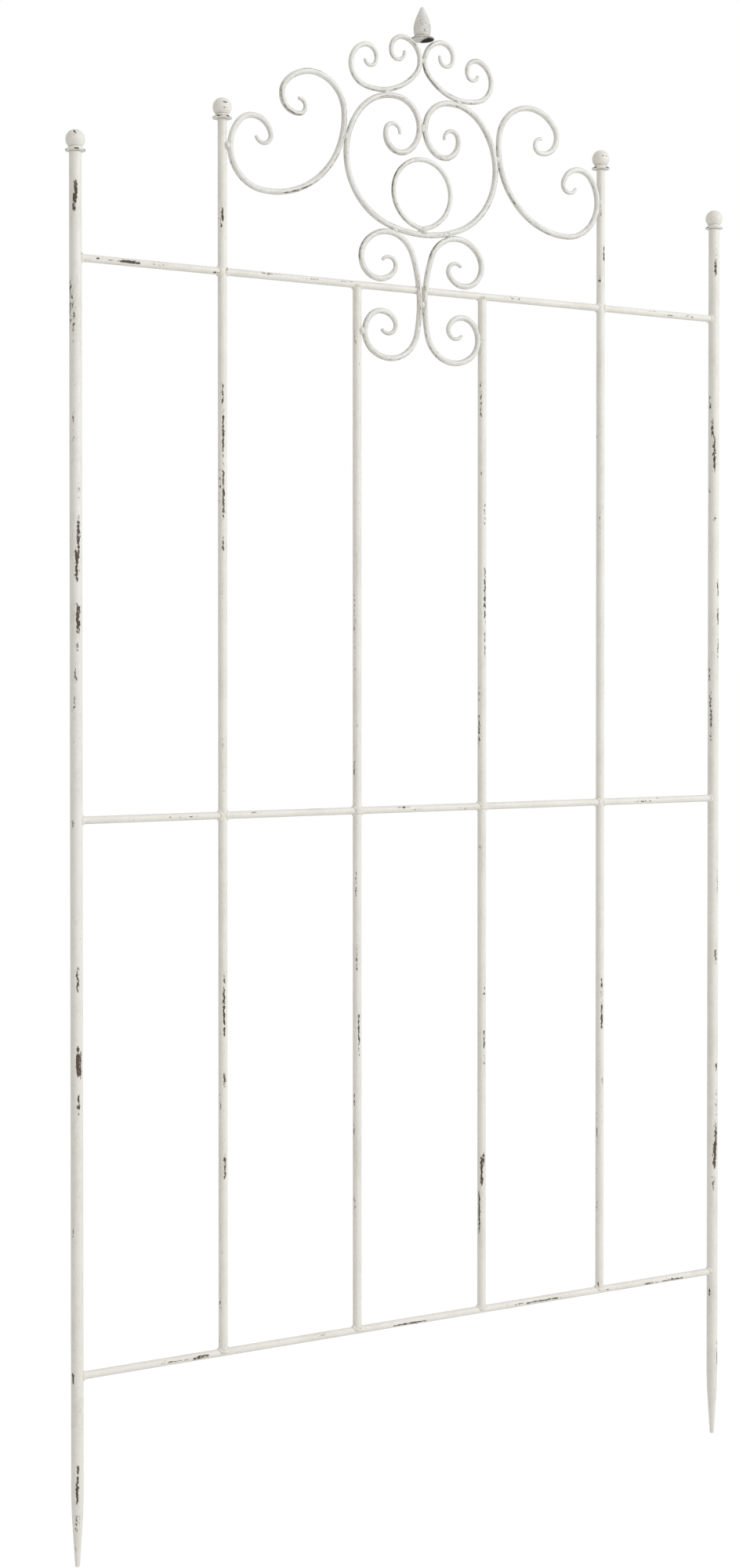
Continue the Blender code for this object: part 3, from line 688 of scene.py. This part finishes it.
SIDE_HEADING = 172
SIDE_BENDS = ((0.010, 178), (0.024, 134), (0.050, 138), (0.111, 100),
              (0.052, 126), (0.0265, 126), (0.011, 178))
SIDE_LEAN = {"left": 5, "right": 0}
SIDE_RUBS = {
    "left": ((-0.168, 1.718, 0.024, -56, 0.82), (-0.216, 1.684, 0.018, -50, 0.74),
             (-0.203, 1.662, 0.020, -50, 0.84), (-0.122, 1.660, 0.035, -30, 0.58),
             (-0.150, 1.600, 0.045, -35, 0.66), (-0.192, 1.560, 0.036, -32, 0.80),
             (-0.280, 1.640, 0.040, -80, 0.46)),
    "right": ((0.158, 1.590, 0.016, 50, 0.74), (0.135, 1.630, 0.050, 72, 0.58),
              (0.260, 1.545, 0.0012, 0, 0.62), (0.200, 1.556, 0.040, 60, 0.58))}

for side in ("left", "right"):
    line = bent_line(SIDE_HEADING, SIDE_BENDS, SIDE_LEAN[side])
    line = line if side == "right" else mirrored(line)
    lines["side", side] = fitted(line, "side_scroll_" + side, ROD_D)
    make_scroll("side_scroll_" + side, lines["side", side], ROD_D, SIDE_RUBS[side])


# Crown scrolls: a pair of 7 mm rods that stand back to back on top of the ring and hold the
# finial in the valley between them.

CROWN_ROD_D = 0.007
CROWN_HEADING = -95
CROWN_BENDS = ((0.0085, -144), (0.0155, -140), (0.0285, -146), (0.0785, -65),
               (0.029, -121), (0.0185, -117), (0.0105, -177))
CROWN_RUBS = {
    "left": ((-0.088, 1.724, 0.035, 60, 0.68), (-0.012, 1.732, 0.022, -40, 0.56),
             (-0.012, 1.783, 0.014, -20, 0.60), (-0.040, 1.709, 0.010, 30, 0.66)),
    "right": ((0.006, 1.742, 0.016, -66, 0.94), (0.014, 1.726, 0.020, -55, 0.80),
              (0.046, 1.709, 0.010, 20, 0.72), (0.070, 1.712, 0.026, -40, 0.52),
              (0.088, 1.770, 0.020, -50, 0.56))}

for side in ("left", "right"):
    line = bent_line(CROWN_HEADING, CROWN_BENDS)
    line = line if side == "right" else mirrored(line)
    lines["crown", side] = fitted(line, "crown_scroll_" + side, CROWN_ROD_D)
    make_scroll("crown_scroll_" + side, lines["crown", side], CROWN_ROD_D, CROWN_RUBS[side])


# Welds of the scrollwork: a spot of weld fills each place where a scroll touches the next one,
# an upright or a rail. The spots stand a little proud of the rods, under the same paint.

SPOT_LENGTH = 0.0046
SPOT_WIDTH = 0.0037
SPOT_DEPTH = 0.0044
SPOT_LUMP_SIZE = 0.0035
SPOT_LUMPINESS = 0.22
SPOT_ROUNDS = 4
UPRIGHT_SPOT = 1.15
RAIL_SPOT = 1.2
RAIL_SPOT_OFFSET = 0.001
CROWN_SPOT = 0.8
VOLUTE_SPOT = 1.2
SEAM_SPOT = 1.45
SEAM_STEPS = 10


def add_spot(work, x, y, z, across, size=1.0):
    """Lump of weld that is longest across the line between the two pieces."""
    lump = bmesh.ops.create_icosphere(work, subdivisions=SPOT_ROUNDS, radius=1)["verts"]
    for point in lump:
        swell = 1 + SPOT_LUMPINESS * noise.noise(
            point.co * SPOT_WIDTH / SPOT_LUMP_SIZE + Vector((90 * x, 0, 90 * z)))
        point.co *= swell * size
    bmesh.ops.scale(work, vec=(SPOT_WIDTH, SPOT_DEPTH, SPOT_LENGTH), verts=lump)
    bmesh.ops.rotate(work, verts=lump, cent=(0, 0, 0),
                     matrix=Matrix.Rotation(-across, 3, "Y"))
    bmesh.ops.translate(work, verts=lump, vec=(x, y, z))


def spot_between(work, line, other, size=1.0):
    """Spot where the lines of two rods come nearest to each other."""
    gaps = np.hypot(line[:, None, 1] - other[None, :, 1], line[:, None, 2] - other[None, :, 2])
    first, second = np.unravel_index(np.argmin(gaps), gaps.shape)
    start = line[first, 1:3]
    end = other[second, 1:3]
    x, z = (start + end) / 2
    add_spot(work, x, scroll_y, z, math.atan2(end[1] - start[1], end[0] - start[0]), size)


def upright_line(node):
    """Axis of an upright, in the form of a bent line."""
    low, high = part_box(node)
    heights = np.arange(low.z, high.z, LINE_STEP)
    return np.column_stack((heights, np.full(len(heights), (low.x + high.x) / 2), heights))


scroll_y = middle_of("ring_scroll").y
ring = lines["ring"]
spots = bmesh.new()
for side in ("left", "right"):
    spot_between(spots, lines["crown", side], ring)
    spot_between(spots, lines["side", side], ring)
    spot_between(spots, lines["side", side], upright_line(side + "_stile"), UPRIGHT_SPOT)
    spot_between(spots, lines["lower", side], ring)
    spot_between(spots, lines["lower", side], upright_line("upper_bar_" + side),
                 UPRIGHT_SPOT)
    rail = middle_of("top_rail_inner_" + side)
    rail_end = math.copysign(ROD_D + RAIL_SPOT_OFFSET, rail.x)
    add_spot(spots, rail_end, rail.y, rail.z, 0, RAIL_SPOT)
spot_between(spots, lines["crown", "left"], lines["crown", "right"], CROWN_SPOT)
spot_between(spots, lines["lower", "left"], lines["lower", "right"])
left_volute = ring[:len(ring) // 3]
right_volute = ring[-len(ring) // 3:]
spot_between(spots, left_volute, right_volute, VOLUTE_SPOT)
spot_between(spots, lines["inner_ring"][:SEAM_STEPS], ring, SEAM_SPOT)
paint_welds(spots)
add_piece("scroll_welds", spots, scroll_paint, "scroll_paint")


# Finial: a cast bud with a dimpled skin, on a hollow skirt that sits in the valley of the
# crown. The skirt is rubbed brown along its edge. Underneath, the paint covers the left half
# of its hollow, and painted shade turns the right half through dark iron to black.

BUD_SIDES = 96
BUD_RINGS = 60
BUD_TIP_RADIUS = 0.003
BUD_TIP_ANGLE = 28
BUD_TIP_STEPS = 10
BUD_TIP_RINGS = 5
BUD_RADIUS = 0.012
BUD_WAIST_RADIUS = 0.01025
BUD_HEIGHT = 0.0405
BUD_BELLY_HEIGHT = 0.012
BUD_FULLNESS = 1.5
SKIRT_HEIGHT = 0.004
SKIRT_WALL = 0.0016
SKIRT_RINGS = 8
RIM_STEPS = 8
RIM_ANGLE = 60
BUD_TOP = SKIRT_HEIGHT + BUD_HEIGHT
BELLY_Z = SKIRT_HEIGHT + BUD_BELLY_HEIGHT
DIMPLE_SIZE = 0.0017
DIMPLE_DEPTH = 0.0009
BUD_WEAR = 0.22
SEAM_REACH = 0.0013
SEAM_WEAR = 0.52
RIM_REACH = 0.0008
RIM_WEAR = 0.60
# Painted shade in the hollow under the skirt: where it begins, and how fast it darkens to the
# right
UNDERSIDE_SHADE_INSET = 0.9 * SKIRT_WALL
UNDERSIDE_SHADE_START = 0.45
UNDERSIDE_SHADE_EDGE = 0.004
UNDERSIDE_SHADE_FADE = 0.004
PITTED_FACING = -14
PITTED_HEIGHT = 0.020
PITTED_SPREAD = 48
PITTED_REACH = 0.016
PITTED_WEAR = 1.1


def turned(outline, sides):
    """Turned piece from the points (radius, height) of its outline."""
    work = bmesh.new()
    corners = [work.verts.new((radius, 0, height)) for radius, height in outline]
    edges = [work.edges.new(pair) for pair in zip(corners, corners[1:])]
    bmesh.ops.spin(work, geom=corners + edges, cent=(0, 0, 0), axis=(0, 0, 1),
                   angle=2 * math.pi, steps=sides, use_merge=True)
    bmesh.ops.remove_doubles(work, verts=work.verts, dist=0.000001)
    bmesh.ops.recalc_face_normals(work, faces=work.faces)
    return work


def arc(centre, radius, start, end, steps):
    """Points (radius, height) of an arc, by degrees from the outward direction."""
    angles = [math.radians(start + (end - start) * step / steps) for step in range(steps + 1)]
    return [(centre[0] + radius * math.cos(angle), centre[1] + radius * math.sin(angle))
            for angle in angles]


def finial_outline(rim):
    """Down over the bud, out over the skirt, round its rim and back to the axis underneath."""
    neck_z = BUD_TOP - BUD_TIP_RADIUS
    outline = [(radius, neck_z + height) for radius, height in
               arc((0, 0), BUD_TIP_RADIUS, 90, BUD_TIP_ANGLE, BUD_TIP_STEPS)]
    for step in range(BUD_TIP_RINGS, BUD_RINGS + 1):
        share = step / BUD_RINGS
        outline.append((BUD_RADIUS - (BUD_RADIUS - BUD_TIP_RADIUS) * (1 - share) ** BUD_FULLNESS,
                        neck_z - (neck_z - BELLY_Z) * share))
    for step in range(1, BUD_RINGS // 2 + 1):
        share = 2 * step / BUD_RINGS
        outline.append((BUD_RADIUS - (BUD_RADIUS - BUD_WAIST_RADIUS)
                        * (1 - math.cos(math.pi / 2 * share)),
                        BELLY_Z - BUD_BELLY_HEIGHT * share))
    skirt_width = rim - SKIRT_WALL - BUD_WAIST_RADIUS
    for step in range(1, SKIRT_RINGS + 1):
        outline.append((BUD_WAIST_RADIUS + skirt_width * step / SKIRT_RINGS,
                        SKIRT_HEIGHT - SKIRT_WALL * step / SKIRT_RINGS))
    outline += arc((rim - SKIRT_WALL / 2, SKIRT_WALL / 2), SKIRT_WALL / 2, RIM_ANGLE, -90,
                   RIM_STEPS)
    outline.append((rim - SKIRT_WALL, 0))
    for step in range(SKIRT_RINGS + 1):
        outline.append((BUD_WAIST_RADIUS * (1 - step / SKIRT_RINGS), SKIRT_HEIGHT - SKIRT_WALL))
    return outline


def dent_at(place):
    """How deep the bud's skin is dented at a place, from 0 down to -1."""
    on_bud = SKIRT_HEIGHT < place.z < BUD_TOP - BUD_TIP_RADIUS / 2
    return min(noise.noise(place / DIMPLE_SIZE), 0) if on_bud else 0


def finial_wear_and_shade(place, dent, rim):
    """How bare the finial is at its rim, seam and front's pits, with painted shade underneath."""
    from_axis = math.hypot(place.x, place.y)
    if from_axis > rim - RIM_REACH:
        return RIM_WEAR
    # Painted shade: under the skirt the value climbs to the right, so the hollow goes from paint
    # through dark iron to black.
    if place.z < SKIRT_HEIGHT - SKIRT_WALL / 2 and from_axis < rim - UNDERSIDE_SHADE_INSET:
        return UNDERSIDE_SHADE_START + (place.x - UNDERSIDE_SHADE_EDGE) / UNDERSIDE_SHADE_FADE
    facing = math.degrees(math.atan2(place.x, -place.y))
    pitted = max(1 - math.hypot((facing - PITTED_FACING) / PITTED_SPREAD,
                                (place.z - PITTED_HEIGHT) / PITTED_REACH) ** 2, 0)
    general = SEAM_WEAR if abs(place.z - SKIRT_HEIGHT) < SEAM_REACH else BUD_WEAR
    return max(general, BUD_WEAR - PITTED_WEAR * dent * pitted)


finial_low, finial_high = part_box("finial")
finial_rim = (finial_high.x - finial_low.x) / 2
work = turned(finial_outline(finial_rim), BUD_SIDES)
wear_and_shade = work.verts.layers.float.new("wear_and_shade")
for point in work.verts:
    dent = dent_at(point.co)
    point[wear_and_shade] = finial_wear_and_shade(point.co, dent, finial_rim)
    point.co.x *= 1 + dent * DIMPLE_DEPTH / BUD_RADIUS
    point.co.y *= 1 + dent * DIMPLE_DEPTH / BUD_RADIUS
bmesh.ops.translate(work, verts=work.verts, vec=(0, scroll_y, finial_low.z))
mark_stock(work, 0)
finial_paint = rubbed_paint("finial_paint", white=(0.78, 0.77, 0.735, 1),
                            aged=(0.56, 0.545, 0.505, 1), roughness=0.55, lumps=1.2,
                            flaking=700, streaking=1, sharpness=4)
add_piece("finial_bud", work, finial_paint, "finial_paint", "finial")


# Collars: a flared steel ring on the open end of each post and stile, pressed out of sheet.
# Its rim is rubbed brown in short dashes.

COLLAR_SIDES = 64
COLLAR_RIM = 0.002
COLLAR_HEIGHT = 0.0055
COLLAR_LAP = 0.0025
COLLAR_FLARE_RINGS = 14
COLLAR_RIM_STEPS = 12
COLLAR_RIM_ANGLE = 80
BALL_SEAT_RADIUS = 0.00875
COLLAR_WEAR = 0.26
CAP_WEAR_SWING = 0.12
CAP_WEAR_SIZE = 0.008
MARKED_SIDE = Vector((-0.5145, -0.8575, 0))
RIGHTWARDS = Vector((0.8575, -0.5145, 0))
MARK_FLATNESS = 1.8
MARK_SLOPE = 2
# A mark is how far it lies right and up from the cap's middle on its marked side, then its
# reach and how bare it is.
COLLAR_MARKS = {
    "left_post": ((0.0016, -0.0015, 0.0026, 0.95), (0.0044, -0.0015, 0.0028, 0.95),
                  (-0.0112, -0.0018, 0.0018, 0.70), (0.0118, -0.0020, 0.0018, 0.68)),
    "left_stile": ((-0.0040, -0.0010, 0.0036, 0.92), (-0.0005, -0.0010, 0.0024, 0.80),
                   (0.0040, -0.0010, 0.0024, 0.76), (0.0078, -0.0010, 0.0034, 0.92)),
    "right_stile": ((-0.0088, -0.0012, 0.0034, 0.86), (0.0082, -0.0012, 0.0034, 0.82)),
    "right_post": ((-0.0106, -0.0016, 0.0026, 0.74), (0.0100, -0.0016, 0.0018, 0.66))}
BALL_MARKS = {
    "left_post": ((-0.0003, 0.0088, 0.0020, 0.84), (0.0002, 0.0074, 0.0020, 0.84),
                  (0.0018, 0.0058, 0.0022, 0.84), (-0.0003, 0.0030, 0.0016, 0.66)),
    "left_stile": ((0.0024, 0.0046, 0.0024, 0.80), (0.0052, 0.0042, 0.0028, 0.82),
                   (0.0016, -0.0028, 0.0016, 0.60), (0.0042, -0.0030, 0.0018, 0.60),
                   (0.0068, -0.0028, 0.0016, 0.60)),
    "right_stile": ((0.0018, 0.0024, 0.0023, 0.80), (0.0066, 0.0024, 0.0021, 0.80)),
    "right_post": ()}


def marked_wear(work, centre, general, marks):
    """Wear of a turned cap: general, and more by each mark on its marked side."""
    stock = mark_stock(work, 0)
    wear_and_shade = work.verts.layers.float.new("wear_and_shade")
    for point in work.verts:
        bare = general + CAP_WEAR_SWING * noise.noise(point[stock] / CAP_WEAR_SIZE)
        place = point.co - centre
        for right, up, reach, strength in marks:
            near = 1 - math.hypot(place.dot(RIGHTWARDS) - right,
                                  MARK_FLATNESS * (place.z - up)) / reach
            if place.dot(MARKED_SIDE) > 0:
                bare = max(bare, strength * min(max(near * MARK_SLOPE, 0), 1))
        point[wear_and_shade] = bare


def collar_outline(rim, bore):
    """Out over the ball's seat and the flare, round the rim and back to the bore underneath."""
    outline = [(bore, COLLAR_HEIGHT), (BALL_SEAT_RADIUS, COLLAR_HEIGHT)]
    for step in range(1, COLLAR_FLARE_RINGS):
        angle = math.pi / 2 * (1 - step / COLLAR_FLARE_RINGS)
        outline.append((rim - (rim - BALL_SEAT_RADIUS) * math.sin(angle),
                        COLLAR_HEIGHT - (COLLAR_HEIGHT - COLLAR_RIM) * math.cos(angle)))
    outline += arc((rim - COLLAR_RIM / 2, COLLAR_RIM / 2), COLLAR_RIM / 2,
                   COLLAR_RIM_ANGLE, -90, COLLAR_RIM_STEPS)
    return outline + [(bore, 0), (bore, COLLAR_HEIGHT)]


cap_paint = rubbed_paint("cap_paint", white=(0.835, 0.815, 0.765, 1),
                         aged=(0.74, 0.71, 0.65, 1), roughness=0.5, lumps=0.35,
                         flaking=600, streaking=1, sharpness=12)
for name, marks in COLLAR_MARKS.items():
    collar_rim = half_width(name + "_collar")
    work = turned(collar_outline(collar_rim, half_width(name) - COLLAR_LAP), COLLAR_SIDES)
    seat = middle_of(name)
    seat.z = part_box(name + "_collar")[0].z
    bmesh.ops.translate(work, verts=work.verts, vec=seat)
    marked_wear(work, middle_of(name + "_collar"), COLLAR_WEAR, marks)
    add_piece(name + "_collar_flare", work, cap_paint, "cap_paint", name + "_collar")


# Balls: a hollow pressed steel ball of 25 mm closes each tube. It stands on its collar by a
# flat seat.

BALL_RINGS = 40
BALL_SIDES = 72
BALL_UNEVENNESS = 0.00012
BALL_UNEVEN_SIZE = 0.006
BALL_WEAR = 0.16

for name, marks in BALL_MARKS.items():
    radius = half_width(name + "_ball")
    seat_angle = 90 - math.degrees(math.asin(BALL_SEAT_RADIUS / radius))
    outline = arc((0, 0), radius, 90, -seat_angle, BALL_RINGS)
    outline[0] = (0, radius)
    outline.append((0, outline[-1][1]))
    work = turned(outline, BALL_SIDES)
    centre = middle_of(name)
    centre.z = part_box(name + "_ball")[1].z - radius
    for point in work.verts:
        dent = 1 + noise.noise(point.co / BALL_UNEVEN_SIZE + centre * 9)
        point.co *= 1 - dent * BALL_UNEVENNESS / radius
    bmesh.ops.translate(work, verts=work.verts, vec=centre)
    marked_wear(work, centre, BALL_WEAR, marks)
    add_piece(name + "_ball_turned", work, cap_paint, "cap_paint", name + "_ball")


# Floor and background: plain and pale, and white to the camera. The floor keeps the shadow of
# the panel, whose spikes stand on it.

FLOOR_REACH = 60
FLOOR_COLOUR = (0.86, 0.86, 0.85, 1)
FLOOR_ROUGHNESS = 0.85
FLOOR_GLOW = 0.85
FLOOR_WHITE = 1.08

floor_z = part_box("left_post")[0].z
work = bmesh.new()
bmesh.ops.create_grid(work, x_segments=8, y_segments=8, size=FLOOR_REACH,
                      matrix=Matrix.Translation((0, 0, floor_z)))
floor_mesh = bpy.data.meshes.new("floor")
work.to_mesh(floor_mesh)
work.free()
floor = bpy.data.objects.new("floor", floor_mesh)
bpy.context.scene.collection.objects.link(floor)
pale_floor = bpy.data.materials.new("pale_floor")
pale_floor.use_nodes = True
tree = pale_floor.node_tree
tree.nodes.clear()
seen = add_node(tree, "ShaderNodeLightPath", {}, {}, "Is Camera Ray")
matt = add_node(tree, "ShaderNodeBsdfPrincipled", {},
                {"Base Color": FLOOR_COLOUR, "Roughness": FLOOR_ROUGHNESS})
glow = add_node(tree, "ShaderNodeEmission", {}, {"Color": (1, 1, 1, 1), "Strength": FLOOR_WHITE})
add_node(tree, "ShaderNodeOutputMaterial", {}, {
    "Surface": add_node(tree, "ShaderNodeMixShader", {},
                        {0: seen * FLOOR_GLOW, 1: matt, 2: glow})})
floor_mesh.materials.append(pale_floor)


# Light: a soft white room, and one large lamp to the right of the camera and above it, so
# that the left side of every tube falls into a warm grey shade.

ROOM_LIGHT = 0.69
ROOM_COLOUR = (1.0, 0.985, 0.955, 1)
KEY_PLACE = Vector((4.1, -6.0, 4.3))
KEY_AIM = Vector((0, 0, 0.95))
KEY_SIZE = 3.0
KEY_POWER = 245
KEY_COLOUR = (0.92, 0.97, 1.0)

world = bpy.data.worlds.new("studio")
bpy.context.scene.world = world
world.use_nodes = True
tree = world.node_tree
tree.nodes.clear()
seen = add_node(tree, "ShaderNodeLightPath", {}, {}, "Is Camera Ray")
room = add_node(tree, "ShaderNodeBackground", {},
                {"Color": ROOM_COLOUR, "Strength": ROOM_LIGHT})
white = add_node(tree, "ShaderNodeBackground", {}, {"Color": (1, 1, 1, 1), "Strength": 1.0})
add_node(tree, "ShaderNodeOutputWorld", {}, {
    "Surface": add_node(tree, "ShaderNodeMixShader", {}, {0: seen, 1: room, 2: white})})

key = bpy.data.lights.new("key", "AREA")
key.shape = "SQUARE"
key.size = KEY_SIZE
key.energy = KEY_POWER
key.color = KEY_COLOUR
key_lamp = bpy.data.objects.new("key", key)
key_lamp.location = KEY_PLACE
key_lamp.rotation_euler = (KEY_AIM - KEY_PLACE).to_track_quat("-Z", "Y").to_euler()
bpy.context.scene.collection.objects.link(key_lamp)


# Camera: almost level, near half the panel's height and to its left, where the photograph was
# taken.

CAMERA_PLACE = (-1.6686, -2.6992, 0.9292)
CAMERA_TURN = -30.467
CAMERA_PITCH = -0.741
CAMERA_LENS = 53.40
CAMERA_SHIFT = -0.0537

view = bpy.data.cameras.new("view")
view.lens = CAMERA_LENS
view.shift_y = CAMERA_SHIFT
camera = bpy.data.objects.new("view", view)
camera.location = CAMERA_PLACE
camera.rotation_euler = (math.radians(90 + CAMERA_PITCH), 0, math.radians(CAMERA_TURN))
bpy.context.scene.collection.objects.link(camera)
bpy.context.scene.camera = camera
bpy.context.scene.view_settings.view_transform = "Standard"
